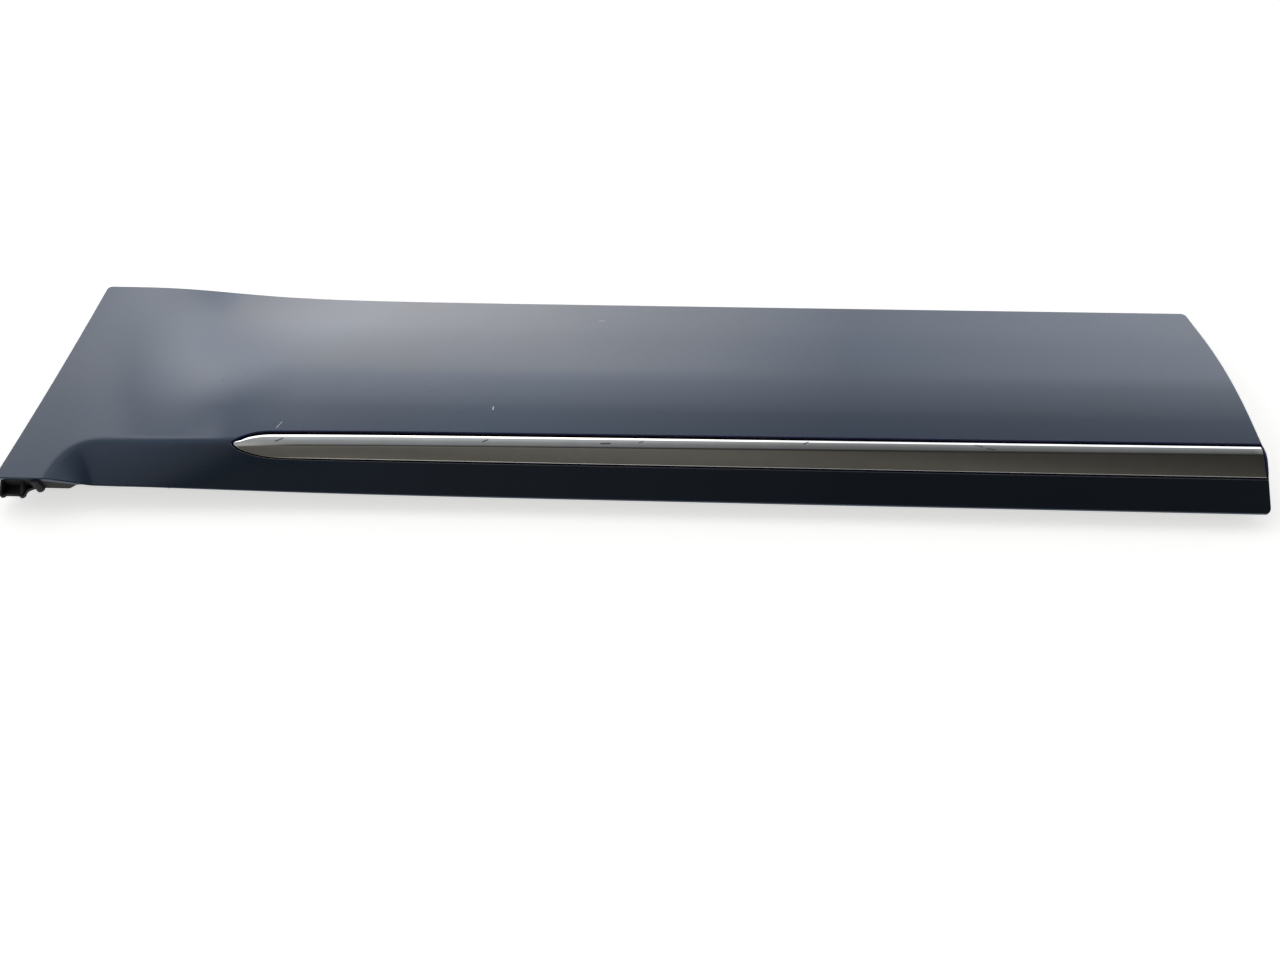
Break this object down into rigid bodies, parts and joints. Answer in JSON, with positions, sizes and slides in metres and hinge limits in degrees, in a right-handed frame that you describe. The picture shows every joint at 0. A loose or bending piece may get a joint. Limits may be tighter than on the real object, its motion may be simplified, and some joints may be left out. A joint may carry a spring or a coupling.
{
  "type": "car body side moulding",
  "caption": "Lower door side moulding: a painted arched panel, ribbed behind, with a two-facet bright strip in a recess and push-in clips on its back.",
  "frame": {"origin": "middle of the bounding box, on the level floor that the clip stems stand on, with the painted face up", "axes": "+X along the car to the rear end, +Y up the door to the top edge, +Z out of the door"},
  "size_m": [1.1517, 0.2666, 0.0351],
  "materials": {
    "painted_panel": "dark blue-grey metallic paint under clear coat, black unpainted back",
    "bright_trim": "bright chrome plate on moulded plastic",
    "clip_plastic": "natural off-white moulded plastic"
  },
  "bodies": {
    "root": {"moulding_panel": "painted_panel", "chrome_strip": "bright_trim", "retaining_clip_01": "clip_plastic", "retaining_clip_02": "clip_plastic", "retaining_clip_03": "clip_plastic", "retaining_clip_04": "clip_plastic", "retaining_clip_05": "clip_plastic", "retaining_clip_06": "clip_plastic", "retaining_clip_07": "clip_plastic", "retaining_clip_08": "clip_plastic", "retaining_clip_09": "clip_plastic"}
  },
  "joints": []
}
